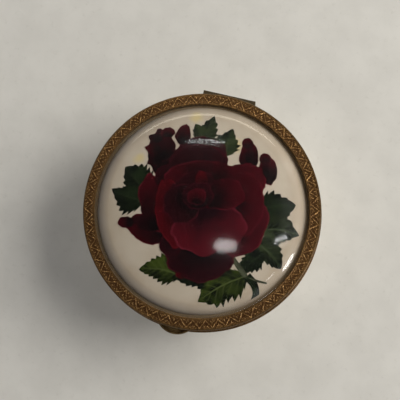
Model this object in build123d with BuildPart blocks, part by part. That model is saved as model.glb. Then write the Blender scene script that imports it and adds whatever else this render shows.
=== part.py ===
"""A round porcelain trinket box with a hinged, gilt-brass mounted lid.

The bowl is glazed porcelain. A brass collar is bedded on its lip and carries an upstanding neck, which
the lid closes over. The lid is a brass rim that holds, from the top down, a clear domed crystal, a domed
porcelain plaque that bears the picture, a brass back plate and a retaining ring. A five-knuckle hinge
joins the two at the back, and a half-round thumb tab lifts the lid at the front.

Frame: the origin is the centre of the foot, on the surface that the box stands on. +Z is up, +Y is towards
the hinge and -Y towards the thumb tab. Everything is in millimetres.
"""

from build123d import *

import os
from math import hypot, sqrt

# ---------------------------------------------------------------- driving dimensions
rim_radius = 34.0  # outside of the lid's brass rim
sheet = 0.8  # thickness of the rim's skirt and of the neck
parting = 22.3  # height where the lid meets the base, and of the hinge axis
seam = 0.1  # half the gap between lid and base

# the porcelain bowl
foot_outer, foot_inner = 25.2, 22.4
foot_height = 1.2
lip_outer, lip_inner = 32.6, 30.1
lip_height = 20.6
belly_height = 14.0  # above this the wall is straight
floor_height = 3.4

# the brass collar on the bowl
band_outer, band_inner = 33.4, 32.75
band_bottom = 16.8
ledge_under = 21.1
bead_radius = 34.7
collar_inner = 29.3
flange = 0.6
flange_bottom = 18.6
lower_bead_radius, lower_bead_height = 33.75, 0.7

# the neck, and the nib that the lid snaps over
neck_outer = 32.8
neck_height = 2.0
nib_height = 1.15  # above the foot of the neck
nib_shank, nib_head, nib_stand = 0.5, 0.85, 0.22
rivet_tail = 0.15  # how far the nib's shank shows inside the neck

# the lid's rim
lip_opening = 30.5  # radius of the hole that the crystal shows through
lip_wide, lip_deep = 0.25, 0.15  # the bevel round that hole
flange_under = 28.5
band_low, band_high = 28.9, 29.5  # heights of the chased band at its outer and inner edges
shoulder = 0.5  # rounding between the chased band and the skirt

# what the rim holds
seat_radius = 32.9
ring_inner, ring_outer, ring_thick = 31.6, 33.1, 0.7
plate_thick = 0.5
press_middle, press_width, press_depth = 24.0, 1.6, 0.3  # the ring pressed into the back plate
plaque_thick, plaque_wall = 1.8, 2.2  # at its flat rim, and in its dome
crystal_flange, crystal_radius = 1.0, 30.3
crystal_edge = 28.7  # height where the crystal's rounded shoulder ends
cap_sphere, crystal_shoulder = 106.5, 6.0  # radii of the shallow cap and of the shoulder round it
shoulder_middle = 25.0  # how far the centre of the shoulder's rounding stands from the axis
crystal_thick, picture_gap = 1.4, 0.3

# the hinge
barrel_radius, pin_radius, pin_play = 1.1, 0.5, 0.03
hinge_length, knuckle_count, knuckle_gap = 15.5, 5, 0.1
hinge_back = 34.65  # the flat outer face of both leaves
leaf_gap = 1.5  # from the axis to the edge of each leaf: it sets how far the lid opens
leaf_height = 3.2
notch_play = 0.2

# the thumb tab
tab_tip = 36.05
tab_radius = 6.3
tab_thick, tab_above_seam = 0.95, 0.5
tab_edge, tab_dish = 0.55, 0.3

# ---------------------------------------------------------------- derived sizes
skirt_bottom = parting + seam
ledge_top = parting - seam
skirt_inner = rim_radius - sheet
neck_inner = neck_outer - sheet
neck_top = ledge_top + neck_height
ring_bottom = neck_top + 0.3
plate_bottom = ring_bottom + ring_thick
plaque_bottom = plate_bottom + plate_thick
plaque_top = plaque_bottom + plaque_thick
crystal_flange_top = plaque_top + crystal_flange
shoulder_height = crystal_edge - sqrt(crystal_shoulder**2 - (crystal_radius - shoulder_middle) ** 2)
cap_centre = shoulder_height - sqrt((cap_sphere - crystal_shoulder) ** 2 - shoulder_middle**2)
apex = cap_centre + cap_sphere
picture_inset = crystal_thick + picture_gap
axis_y = hinge_back - barrel_radius
knuckle = (hinge_length - (knuckle_count - 1) * knuckle_gap) / knuckle_count
knuckle_xs = [(i - (knuckle_count - 1) / 2) * (knuckle + knuckle_gap) for i in range(knuckle_count)]
base_knuckles, lid_knuckles = knuckle_xs[0::2], knuckle_xs[1::2]
notch_width = hinge_length + 2 * notch_play
nib_dome = (nib_head**2 + nib_stand**2) / 2 / nib_stand
belly = hypot(lip_outer - foot_outer, belly_height - foot_height) ** 2 / 2 / (lip_outer - foot_outer)
belly_axis = lip_outer - belly
inner_belly = lip_inner - belly_axis
floor_radius = belly_axis + sqrt(inner_belly**2 - (belly_height - floor_height) ** 2)


def ring_edges(part, low, high):
    """The circular edges of a revolved part between two heights."""
    return part.edges().filter_by(GeomType.CIRCLE).filter_by_position(Axis.Z, low, high)


def dome_points(inset, low):
    """Apex, cap edge and foot of the crystal's outline, moved in by inset and cut off at height low."""
    share = (cap_sphere - inset) / (cap_sphere - crystal_shoulder)
    reach = sqrt((crystal_shoulder - inset) ** 2 - (low - shoulder_height) ** 2)
    cap_edge = (shoulder_middle * share, cap_centre + (shoulder_height - cap_centre) * share)
    return (0, apex - inset), cap_edge, (shoulder_middle + reach, low)


def dome_line(inset, low):
    """Draws that outline, from its foot over the shoulder and the cap to its apex."""
    top, cap_edge, foot = dome_points(inset, low)
    RadiusArc(foot, cap_edge, -(crystal_shoulder - inset))
    RadiusArc(cap_edge, top, -(cap_sphere - inset))


# ---------------------------------------------------------------- base: porcelain bowl
with BuildPart() as base_bowl:
    with BuildSketch(Plane.XZ) as bowl_section:
        with BuildLine() as bowl_outline:
            Polyline(
                (0, floor_height),
                (0, foot_height),
                (foot_inner, foot_height),
                (foot_inner, 0),
                (foot_outer, 0),
                (foot_outer, foot_height),
            )
            RadiusArc((foot_outer, foot_height), (lip_outer, belly_height), -belly)
            Polyline(
                (lip_outer, belly_height),
                (lip_outer, lip_height),
                (lip_inner, lip_height),
                (lip_inner, belly_height),
            )
            RadiusArc((lip_inner, belly_height), (floor_radius, floor_height), inner_belly)
            Line((floor_radius, floor_height), (0, floor_height))
        make_face()
    revolve(axis=Axis.Z)
    fillet(ring_edges(base_bowl, -0.01, 0.01), 0.5)
    fillet(ring_edges(base_bowl, floor_height - 0.01, floor_height + 0.01), 2.5)
    fillet(ring_edges(base_bowl, lip_height - 0.01, lip_height + 0.01), 0.6)
base_bowl.part.label = "base_bowl"

# ---------------------------------------------------------------- base: plaster bedding under the collar
with BuildPart() as collar_bedding:
    with BuildSketch(Plane.XY.offset(lip_height)) as bedding_ring:
        Circle(lip_outer)
        Circle(lip_inner, mode=Mode.SUBTRACT)
    extrude(amount=ledge_under - lip_height)
collar_bedding.part.label = "collar_bedding"

# ---------------------------------------------------------------- base: brass collar
with BuildPart() as base_collar:
    with BuildSketch(Plane.XZ) as collar_section:
        with BuildLine() as collar_outline:
            Polyline(
                (band_inner, band_bottom),
                (lower_bead_radius, band_bottom),
                (lower_bead_radius, band_bottom + lower_bead_height),
                (band_outer, band_bottom + lower_bead_height),
                (band_outer, ledge_under),
                (bead_radius, ledge_under),
                (bead_radius, ledge_top),
                (collar_inner, ledge_top),
                (collar_inner, flange_bottom),
                (collar_inner + flange, flange_bottom),
                (collar_inner + flange, ledge_under),
                (band_inner, ledge_under),
                close=True,
            )
        make_face()
    revolve(axis=Axis.Z)
    collar_rounds = base_collar.edges().filter_by(GeomType.CIRCLE)
    fillet(collar_rounds.filter_by(lambda e: e.radius > band_outer + 0.1), 0.3)
    fillet(ring_edges(base_collar, ledge_top - 0.01, ledge_top + 0.01).sort_by(SortBy.RADIUS)[0], 0.3)
    with BuildSketch(Plane.XY.offset(parting - leaf_gap)) as collar_notch:
        with Locations((0, bead_radius)):
            Rectangle(notch_width, 2 * (bead_radius - axis_y + barrel_radius + seam))
    extrude(amount=leaf_gap + 1, mode=Mode.SUBTRACT)
base_collar.part.label = "base_collar"

# ---------------------------------------------------------------- base: upstanding neck
with BuildPart() as base_neck:
    with BuildSketch(Plane.XY.offset(ledge_top)) as neck_ring:
        Circle(neck_outer)
        Circle(neck_inner, mode=Mode.SUBTRACT)
        with Locations((0, neck_outer)):
            Rectangle(notch_width, neck_outer, mode=Mode.SUBTRACT)
    extrude(amount=neck_height)
    fillet(base_neck.edges().filter_by(GeomType.CIRCLE).group_by(Axis.Z)[-1], 0.3)
    with Locations(Location((0, -neck_outer, ledge_top + nib_height), (90, 0, 0))):
        Cylinder(nib_shank, 4 * sheet, mode=Mode.SUBTRACT)
base_neck.part.label = "base_neck"

# ---------------------------------------------------------------- base: snap nib, riveted through the neck
with BuildPart() as catch_nib:
    with BuildSketch(Plane.XZ) as nib_section:
        with BuildLine() as nib_outline:
            Polyline(
                (0, nib_stand),
                (0, -sheet - rivet_tail),
                (nib_shank, -sheet - rivet_tail),
                (nib_shank, 0),
                (nib_head, 0),
            )
            RadiusArc((nib_head, 0), (0, nib_stand), -nib_dome)
        make_face()
    revolve(axis=Axis.Z)
catch_nib.part.label = "catch_nib"
catch_nib.part.locate(Location((0, -neck_outer, ledge_top + nib_height), (90, 0, 0)))


# ---------------------------------------------------------------- hinge
def leaf(fits_radius, lowest, web_middle, xs):
    """One hinge leaf: a plate that fits a cylinder of fits_radius, with webs and bored knuckles at xs."""
    depth = hinge_back - axis_y + barrel_radius
    with BuildPart() as made:
        with BuildSketch(Plane.XY.offset(lowest)):
            with Locations((0, hinge_back - depth / 2)):
                Rectangle(hinge_length, depth)
            Circle(fits_radius, mode=Mode.SUBTRACT)
        extrude(amount=leaf_height)
        with Locations([(x, axis_y, web_middle) for x in xs]):
            Box(knuckle, barrel_radius, leaf_gap, align=(Align.CENTER, Align.MIN, Align.CENTER))
        with Locations([(x, axis_y, parting) for x in xs]):
            Cylinder(barrel_radius, knuckle, rotation=(0, 90, 0))
        with Locations((0, axis_y, parting)):
            Cylinder(pin_radius + pin_play, hinge_length + 1, rotation=(0, 90, 0), mode=Mode.SUBTRACT)
    return made


hinge_leaf_base = leaf(band_outer, parting - leaf_gap - leaf_height, parting - leaf_gap / 2, base_knuckles)
hinge_leaf_base.part.label = "hinge_leaf_base"
hinge_leaf_lid = leaf(rim_radius, parting + leaf_gap, parting + leaf_gap / 2, lid_knuckles)
hinge_leaf_lid.part.label = "hinge_leaf_lid"

with BuildPart() as hinge_pin:
    with Locations((0, axis_y, parting)):
        Cylinder(pin_radius, hinge_length, rotation=(0, 90, 0))
    chamfer(hinge_pin.edges().filter_by(GeomType.CIRCLE), 0.1)
hinge_pin.part.label = "hinge_pin"

# ---------------------------------------------------------------- lid: brass rim
with BuildPart() as lid_rim:
    with BuildSketch(Plane.XZ) as rim_section:
        with BuildLine() as rim_outline:
            Polyline(
                (skirt_inner, skirt_bottom),
                (rim_radius, skirt_bottom),
                (rim_radius, band_low),
                (lip_opening + lip_wide, band_high),
                (lip_opening, band_high - lip_deep),
                (lip_opening, flange_under),
                (skirt_inner, flange_under),
                close=True,
            )
        make_face()
        fillet(rim_section.vertices().sort_by_distance((rim_radius, 0, band_low))[0], shoulder)
    revolve(axis=Axis.Z)
    with BuildSketch(Plane.XY.offset(skirt_bottom - 1)) as rim_notch:
        with Locations((0, rim_radius)):
            Rectangle(notch_width, rim_radius)
    extrude(amount=parting + leaf_gap - skirt_bottom + 1, mode=Mode.SUBTRACT)
lid_rim.part.label = "lid_rim"

# ---------------------------------------------------------------- lid: clear domed crystal
with BuildPart() as lid_crystal:
    with BuildSketch(Plane.XZ):
        with BuildLine():
            dome_line(0, crystal_edge)
            Polyline(
                (crystal_radius, crystal_edge),
                (crystal_radius, crystal_flange_top),
                (seat_radius, crystal_flange_top),
                (seat_radius, plaque_top),
                dome_points(crystal_thick, plaque_top)[2],
            )
            dome_line(crystal_thick, plaque_top)
            Line((0, apex - crystal_thick), (0, apex))
        make_face()
    revolve(axis=Axis.Z)
lid_crystal.part.label = "lid_crystal"

# ---------------------------------------------------------------- lid: domed porcelain plaque, hollow beneath
with BuildPart() as picture_plaque:
    hollow_top, _, hollow_foot = dome_points(picture_inset + plaque_wall, shoulder_height)
    with BuildSketch(Plane.XZ):
        with BuildLine():
            dome_line(picture_inset, plaque_top)
            Polyline(
                dome_points(picture_inset, plaque_top)[2],
                (seat_radius, plaque_top),
                (seat_radius, plaque_bottom),
                (hollow_foot[0], plaque_bottom),
                hollow_foot,
            )
            dome_line(picture_inset + plaque_wall, shoulder_height)
            Line(hollow_top, (0, apex - picture_inset))
        make_face()
    revolve(axis=Axis.Z)
picture_plaque.part.label = "picture_plaque"

# ---------------------------------------------------------------- lid: back plate, with one pressed ring
with BuildPart() as lid_back_plate:
    with BuildSketch(Plane.XY.offset(plate_bottom)):
        Circle(seat_radius)
    extrude(amount=plate_thick)
    with BuildSketch(Plane.XY.offset(plate_bottom)):
        Circle(press_middle + press_width / 2)
        Circle(press_middle - press_width / 2, mode=Mode.SUBTRACT)
    extrude(amount=-press_depth)
    fillet(lid_back_plate.edges().filter_by(GeomType.CIRCLE).group_by(Axis.Z)[0], 0.25)
lid_back_plate.part.label = "lid_back_plate"

# ---------------------------------------------------------------- lid: retaining ring
with BuildPart() as retaining_ring:
    with BuildSketch(Plane.XY.offset(ring_bottom)):
        Circle(ring_outer)
        Circle(ring_inner, mode=Mode.SUBTRACT)
    extrude(amount=ring_thick)
    under_edges = ring_edges(retaining_ring, ring_bottom - 0.01, ring_bottom + 0.01)
    fillet(under_edges.sort_by(SortBy.RADIUS)[0], 0.3)
retaining_ring.part.label = "retaining_ring"

# ---------------------------------------------------------------- lid: thumb tab, dished inside a raised edge
with BuildPart() as thumb_tab:
    with BuildSketch(Plane.XY.offset(skirt_bottom + tab_above_seam)) as tab_outline:
        with Locations((0, tab_radius - tab_tip)):
            Circle(tab_radius)
        Circle(rim_radius, mode=Mode.SUBTRACT)
    extrude(amount=tab_thick)
    with BuildSketch(Plane.XY.offset(skirt_bottom + tab_above_seam + tab_thick)) as tab_hollow:
        with Locations((0, tab_radius - tab_tip)):
            Circle(tab_radius - tab_edge)
        Circle(rim_radius, mode=Mode.SUBTRACT)
    extrude(amount=-tab_dish, mode=Mode.SUBTRACT)
thumb_tab.part.label = "thumb_tab"

# ---------------------------------------------------------------- write one STEP per piece
os.makedirs("parts", exist_ok=True)
pieces = [
    base_bowl,
    collar_bedding,
    base_collar,
    base_neck,
    catch_nib,
    hinge_leaf_base,
    hinge_leaf_lid,
    hinge_pin,
    lid_rim,
    lid_crystal,
    picture_plaque,
    lid_back_plate,
    retaining_ring,
    thumb_tab,
]
for piece in pieces:
    export_step(piece.part, f"parts/{piece.part.label}.step")
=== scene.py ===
"""A round porcelain trinket box with a rose under a domed crystal: the visible pieces, their materials, the
floor, the lights and the camera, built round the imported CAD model.

Lengths in this script are in millimetres and become metres where meshes are made. The picture on the lid
has its own flat coordinates, u to its right and v to its top, from the box's centre. The picture is mounted
turned by picture_turn against the hinge.
"""

import math

import bmesh
import bpy
import numpy as np
from mathutils import Matrix, Vector, noise


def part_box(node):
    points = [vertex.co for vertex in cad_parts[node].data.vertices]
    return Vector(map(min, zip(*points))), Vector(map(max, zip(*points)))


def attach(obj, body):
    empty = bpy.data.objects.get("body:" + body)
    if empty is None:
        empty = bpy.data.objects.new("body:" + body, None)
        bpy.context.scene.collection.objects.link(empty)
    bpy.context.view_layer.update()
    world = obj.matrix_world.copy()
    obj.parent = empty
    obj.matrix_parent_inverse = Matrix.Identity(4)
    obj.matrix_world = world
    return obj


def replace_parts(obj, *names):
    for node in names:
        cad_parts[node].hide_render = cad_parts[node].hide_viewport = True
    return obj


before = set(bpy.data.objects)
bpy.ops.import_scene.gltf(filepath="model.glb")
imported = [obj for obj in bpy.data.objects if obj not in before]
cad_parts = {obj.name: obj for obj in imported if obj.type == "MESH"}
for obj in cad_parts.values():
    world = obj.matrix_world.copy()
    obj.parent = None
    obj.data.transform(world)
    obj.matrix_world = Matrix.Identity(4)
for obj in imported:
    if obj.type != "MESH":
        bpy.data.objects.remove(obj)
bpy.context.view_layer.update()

mm = 0.001


# ---------------- sizes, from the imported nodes
def node_mm(name):
    """A CAD node's lowest and highest corners, in millimetres."""
    low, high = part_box(name)
    return low / mm, high / mm


bowl_top = node_mm("base_bowl")[1].z
bedding_low, bedding_high = node_mm("collar_bedding")
collar_low, collar_high = node_mm("base_collar")
neck_low, neck_high = node_mm("base_neck")
rim_low, rim_high = node_mm("lid_rim")
crystal_low, crystal_high = node_mm("lid_crystal")
plaque_low, plaque_high = node_mm("picture_plaque")
plate_low, plate_high = node_mm("lid_back_plate")
ring_low, ring_high = node_mm("retaining_ring")
tab_low, tab_high = node_mm("thumb_tab")
hinge_half = node_mm("hinge_leaf_base")[1].x
pin_low, pin_high = node_mm("hinge_pin")

rim_radius = rim_high.x
sheet = 0.8  # thickness of the brass sheet
axis_z = (pin_low.z + pin_high.z) / 2  # height of the hinge's axis
notch_half = hinge_half + 0.2  # the rim and the collar are cut away this far to each side of the hinge
leaf_gap = 1.5  # from the hinge's axis up to the rim's cut and down to the collar's
flange_under = 28.5  # height of the rim's underside, which the crystal's flange meets
band_low = 28.9  # height of the rim's sloping top at its outer edge
band_high = 29.5  # and next to the lip round its opening
lip_opening = 30.5  # radius of the opening that the crystal shows through
lip_wide = 0.25  # the bevel round that opening
lip_deep = 0.15
band_inner = 30.95  # the rim is chased between these two radii
band_outer = 33.45
channel = 0.12  # depth of the channel under each chased strip
picture_turn = math.radians(13.8)

# the crystal's outline: a shallow cap, a rounded shoulder and a short wall; the picture lies parallel to it
cap_sphere = 106.5  # radius of the cap
dome_shoulder = 6.0  # radius of the shoulder
shoulder_middle = 25.0  # distance from the box's axis to the shoulder's centre
crystal_wall = 30.3  # radius of the wall
crystal_edge = 28.7  # height at which the shoulder meets the wall
crystal_thick = 1.4
picture_inset = 1.7  # from the crystal's outside to the picture
plaque_wall = 2.2
shoulder_height = crystal_edge - math.sqrt(dome_shoulder**2 - (crystal_wall - shoulder_middle) ** 2)
cap_centre = shoulder_height - math.sqrt((cap_sphere - dome_shoulder) ** 2 - shoulder_middle**2)


# ---------------- nodes and materials
def srgb(red, green, blue):
    """A colour given as 0 to 255 display values, as the linear colour that shaders take."""
    linear = [((c / 255 + 0.055) / 1.055) ** 2.4 if c > 10 else c / 255 / 12.92 for c in (red, green, blue)]
    return (*linear, 1.0)


def add(tree, kind, inputs=None, **settings):
    """Adds a shader node. inputs maps its sockets to a value or to the socket that feeds them."""
    made = tree.nodes.new("ShaderNode" + kind)
    for key, value in settings.items():
        setattr(made, key, value)
    for key, value in (inputs or {}).items():
        if isinstance(value, bpy.types.NodeSocket):
            tree.links.new(value, made.inputs[key])
        else:
            made.inputs[key].default_value = value
    return made


def mix(tree, share, low, high, blend="MIX"):
    """Mixes two colours by a share."""
    made = add(tree, "Mix", {0: share, 6: low, 7: high}, data_type="RGBA", blend_type=blend)
    return made.outputs[2]


def ease(tree, value, low, high, start=0.0, end=1.0):
    """Moves smoothly from start to end while value goes from low to high."""
    wanted = {"Value": value, "From Min": low, "From Max": high, "To Min": start, "To Max": end}
    return add(tree, "MapRange", wanted, interpolation_type="SMOOTHSTEP").outputs[0]


def sums(tree, operation, first, second=0.0):
    """One step of arithmetic."""
    return add(tree, "Math", {0: first, 1: second}, operation=operation).outputs[0]


def plus(tree, first, second):
    return sums(tree, "ADD", first, second)


def times(tree, first, second):
    return sums(tree, "MULTIPLY", first, second)


def centred(tree, value):
    """A value from 0 to 1, moved to lie between -0.5 and 0.5."""
    return sums(tree, "SUBTRACT", value, 0.5)


def speckle(tree, scale, detail=3.0, roughness=0.55, where=None):
    """Noise over the object's own coordinates; scale is in repeats per metre."""
    where = where or add(tree, "TexCoord").outputs["Object"]
    wanted = {"Vector": where, "Scale": scale, "Detail": detail, "Roughness": roughness}
    return add(tree, "TexNoise", wanted).outputs["Fac"]


def stored(tree, name):
    """A number kept on the mesh's points."""
    return add(tree, "Attribute", attribute_name=name).outputs["Fac"]


def bumped(tree, height, depth, strength):
    """A normal for a surface that is raised by height, up to depth in metres."""
    return add(tree, "Bump", {"Height": height, "Distance": depth, "Strength": strength}).outputs["Normal"]


def material(name, **sockets):
    """A new material with a Principled shader, and its node tree."""
    made = bpy.data.materials.new(name)
    made.use_nodes = True
    tree = made.node_tree
    shader = tree.nodes["Principled BSDF"]
    for key, value in sockets.items():
        shader.inputs[key.replace("_", " ")].default_value = value
    return made, tree, shader


def feed(tree, shader, **sockets):
    """Links values to the shader's sockets, which are named with _ for a space."""
    for key, value in sockets.items():
        tree.links.new(value, shader.inputs[key.replace("_", " ")])


def dimmed(colour, share):
    return (*(share * c for c in colour[:3]), 1.0)


worn_metal = 0.72  # patina makes old brass less than wholly metallic


def brass(name, deep, body, bright, rough_low, rough_high, chased=False, grain=2600.0, metal=worn_metal):
    """Aged brass: patina lies deep in the relief, and the raised parts are rubbed bright."""
    made, tree, shader = material(name, Metallic=metal)
    cloud = speckle(tree, 190.0, 5.0)
    fine = speckle(tree, grain, 4.0, 0.6)
    tone = mix(tree, ease(tree, cloud, 0.35, 0.7), body, dimmed(body, 0.72))
    patch = speckle(tree, 900.0, 4.0, 0.75)
    tone = mix(tree, ease(tree, patch, 0.46, 0.66, 0.0, 0.8), tone, deep)
    if chased:
        relief = stored(tree, "relief")
        height = plus(tree, relief, times(tree, centred(tree, fine), 2.6))
        tone = mix(tree, ease(tree, height, 0.0, 0.5), deep, tone)
        tone = mix(tree, ease(tree, height, 0.5, 1.0), tone, bright)
    else:
        tone = mix(tree, ease(tree, fine, 0.3, 0.5), deep, tone)
        tone = mix(tree, ease(tree, cloud, 0.55, 0.8, 0.0, 0.5), tone, bright)
    feed(tree, shader, Base_Color=tone, Roughness=ease(tree, cloud, 0.3, 0.7, rough_low, rough_high))
    feed(tree, shader, Normal=bumped(tree, fine, 0.00003, 0.5))
    return made


def steel_material():
    """Dull drawn wire."""
    made, tree, shader = material("drawn_steel", Metallic=1.0)
    grain = speckle(tree, 1800.0, 4.0)
    tone = mix(tree, grain, srgb(70, 64, 56), srgb(150, 145, 138))
    feed(tree, shader, Base_Color=tone, Roughness=ease(tree, grain, 0.3, 0.7, 0.3, 0.5))
    return made


def glaze_material():
    """White glaze over porcelain, with faint clouds, a few iron specks and a rippled surface."""
    made, tree, shader = material(
        "glazed_porcelain", Roughness=0.16, Coat_Weight=0.6, Coat_Roughness=0.05, IOR=1.5
    )
    white = srgb(236, 229, 214)
    cloud = speckle(tree, 60.0, 3.0)
    tone = mix(tree, ease(tree, cloud, 0.3, 0.7), white, dimmed(white, 0.93))
    dots = add(tree, "TexVoronoi", {"Scale": 420.0, "Vector": add(tree, "TexCoord").outputs["Object"]})
    speck = ease(tree, dots.outputs["Distance"], 0.03, 0.06, 0.35, 0.0)
    tone = mix(tree, speck, tone, srgb(120, 96, 66))
    feed(tree, shader, Base_Color=tone, Normal=bumped(tree, speckle(tree, 160.0, 2.0), 0.00012, 0.25))
    return made


def plaster_material():
    """Matt plaster with a fine grain."""
    made, tree, shader = material("bedding_plaster", Roughness=0.92)
    grain = speckle(tree, 1400.0, 6.0)
    tone = mix(tree, grain, srgb(176, 168, 150), srgb(216, 208, 190))
    feed(tree, shader, Base_Color=tone, Normal=bumped(tree, grain, 0.0001, 0.6))
    return made


# each brass: its tone in the recesses, over the body and on the high points
aged_tones = srgb(52, 36, 17), srgb(108, 80, 44), srgb(168, 132, 78)
chased_tones = srgb(78, 51, 23), srgb(128, 91, 47), srgb(196, 154, 96)
inner_tones = srgb(120, 92, 50), srgb(176, 142, 84), srgb(214, 182, 120)
dark_tones = srgb(58, 49, 37), srgb(98, 84, 62), srgb(140, 122, 92)
# the tab's tones are a lighter copy of the aged brass: painted light that makes up for the shade the lid casts
# on the tab
tab_painted_light_tones = srgb(54, 38, 17), srgb(124, 98, 58), srgb(186, 156, 104)
aged_brass = brass("aged_brass", *aged_tones, 0.36, 0.52)
chased_brass = brass("chased_brass", *chased_tones, 0.34, 0.5, chased=True)
inner_brass = brass("inner_brass", *inner_tones, 0.26, 0.4, grain=1500.0, metal=1.0)
dark_brass = brass("dark_brass", *dark_tones, 0.42, 0.6)
tab_brass_painted_light = brass("tab_brass_painted_light", *tab_painted_light_tones, 0.36, 0.5)
steel = steel_material()
glaze = glaze_material()
plaster = plaster_material()


def crystal_material(name, ior, roughness, coat):
    """Clear crystal. Lamps and bounced light pass straight through it, so that the picture is lit."""
    made, tree, shader = material(
        name,
        Base_Color=(0.985, 0.985, 0.975, 1.0),
        Transmission_Weight=1.0,
        IOR=ior,
        Roughness=roughness,
        Coat_Weight=coat,
        Coat_Roughness=0.34,
    )
    if coat:
        waves = speckle(tree, 110.0, 3.0)
        grain = times(tree, speckle(tree, 2800.0, 2.0, 0.7), 0.6)
        feed(tree, shader, Normal=bumped(tree, plus(tree, waves, grain), 0.00004, 0.12))
    clear = add(tree, "BsdfTransparent").outputs[0]
    path = add(tree, "LightPath")
    inner = add(tree, "MixShader", {0: path.outputs["Is Diffuse Ray"], 1: shader.outputs[0], 2: clear})
    outer = add(tree, "MixShader", {0: path.outputs["Is Shadow Ray"], 1: inner.outputs[0], 2: clear})
    tree.links.new(outer.outputs[0], tree.nodes["Material Output"].inputs["Surface"])
    return made


crystal_glass = crystal_material("clear_crystal", 1.49, 0.08, 0.12)
crystal_underside = crystal_material("crystal_underside", 1.0, 0.0, 0.0)


stains = ((-17.4, 14.6, 2.8), (-1.3, 26.4, 3.0), (9.8, 17.8, 3.2))  # u, v and size


def ground_material():
    """The cream enamel behind the rose, with three soft yellow stains, painted shade that turns it browner
    towards its edge, and a dark ring at its rim that is a painted reflection of the brass seat.
    """
    made, tree, shader = material("cream_enamel", Roughness=0.5, Specular_IOR_Level=0.1)
    where = add(tree, "TexCoord").outputs["Object"]
    cloud = speckle(tree, 70.0, 4.0)
    tone = mix(tree, ease(tree, cloud, 0.3, 0.7), srgb(186, 174, 157), srgb(176, 163, 144))
    axis = add(tree, "VectorMath", {0: where, 1: (1.0, 1.0, 0.0)}, operation="MULTIPLY").outputs[0]
    out = add(tree, "VectorMath", {0: axis}, operation="LENGTH").outputs["Value"]
    # painted shade: the enamel turns browner towards the edge of the dome
    edge_shade_reach = plus(tree, out, times(tree, speckle(tree, 160.0, 4.0), 0.006))
    tone = mix(tree, ease(tree, edge_shade_reach, 0.026, 0.033, 0.0, 0.55), tone, srgb(150, 130, 104))
    # painted reflection: a dark brown ring at the enamel's rim stands in for the brass seat seen in the
    # crystal's edge
    tone = mix(tree, ease(tree, out, 0.0285, 0.0293, 0.0, 0.75), tone, srgb(82, 64, 38))
    for u, v, size in stains:
        x, y = on_lid(u, v)
        centre = (x * mm, y * mm, dome_height(math.hypot(u, v), picture_inset) * mm)
        gap = add(tree, "VectorMath", {0: where, 1: centre}, operation="DISTANCE").outputs["Value"]
        worn = plus(tree, gap, times(tree, speckle(tree, 500.0), 0.002))
        stain = ease(tree, worn, size * 0.5 * mm, size * 1.2 * mm, 0.6, 0.0)
        tone = mix(tree, stain, tone, srgb(198, 178, 116))
    feed(tree, shader, Base_Color=tone, Normal=bumped(tree, speckle(tree, 420.0, 3.0), 0.00004, 0.25))
    return made


def cap_reach(inset):
    """The radius at which the cap meets the shoulder, on the crystal's outline set in by inset."""
    return shoulder_middle * (cap_sphere - inset) / (cap_sphere - dome_shoulder)


def dome_height(r, inset):
    """Height of the crystal's outline, set in by inset, at a distance r from the axis."""
    if r < cap_reach(inset):
        return cap_centre + math.sqrt((cap_sphere - inset) ** 2 - r**2)
    return shoulder_height + math.sqrt(max((dome_shoulder - inset) ** 2 - (r - shoulder_middle) ** 2, 0))


def on_lid(u, v):
    """A point of the picture, in the box's x and y."""
    turn_cos, turn_sin = math.cos(picture_turn), math.sin(picture_turn)
    return u * turn_cos - v * turn_sin, u * turn_sin + v * turn_cos


cream_enamel = ground_material()


def petal_material(name, deep, body, edge):
    """Dark red enamel: deep at the petal's base, faintly streaked, with a thin broken line round its edge."""
    made, tree, shader = material(name, Roughness=0.6, Specular_IOR_Level=0.06)
    out, along, sweep = stored(tree, "rim"), stored(tree, "along"), stored(tree, "sweep")
    streak_at = add(tree, "CombineXYZ", {0: times(tree, sweep, 7.0), 1: times(tree, along, 1.2)})
    streaks = speckle(tree, 1.0, 2.0, 0.5, streak_at.outputs[0])
    cloud = speckle(tree, 170.0, 5.0, 0.65)
    reach = plus(tree, along, times(tree, centred(tree, cloud), 0.9))
    reach = plus(tree, reach, times(tree, centred(tree, streaks), 0.25))
    tone = mix(tree, ease(tree, reach, 0.25, 0.95), deep, body)
    lip = times(tree, ease(tree, out, 0.92, 0.985), ease(tree, cloud, 0.36, 0.6))
    tone = mix(tree, times(tree, lip, 0.8), tone, edge)
    feed(tree, shader, Base_Color=tone, Normal=bumped(tree, streaks, 0.00003, 0.15))
    return made


def leaf_material(name, deep, body, pale):
    """Green enamel with a pale midrib, side veins and a darker half."""
    made, tree, shader = material(name, Roughness=0.6, Specular_IOR_Level=0.06)
    along, across = stored(tree, "along"), stored(tree, "across")
    side = sums(tree, "ABSOLUTE", across)
    cloud = speckle(tree, 260.0, 4.0)
    tone = mix(tree, ease(tree, cloud, 0.38, 0.62), body, deep)
    tone = mix(tree, ease(tree, across, -0.2, 0.25, 0.0, 0.55), tone, deep)
    climb = sums(tree, "SUBTRACT", along, times(tree, side, 0.22))
    wave = sums(tree, "PINGPONG", times(tree, climb, 7.0), 0.5)
    veins = times(tree, ease(tree, wave, 0.0, 0.12, 1.0, 0.0), ease(tree, side, 0.1, 0.95, 0.6, 0.15))
    rib = ease(tree, side, 0.02, 0.08, 0.6, 0.0)
    tone = mix(tree, sums(tree, "MAXIMUM", veins, rib), tone, pale)
    feed(tree, shader, Base_Color=tone, Normal=bumped(tree, wave, 0.00004, 0.4))
    return made


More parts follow.
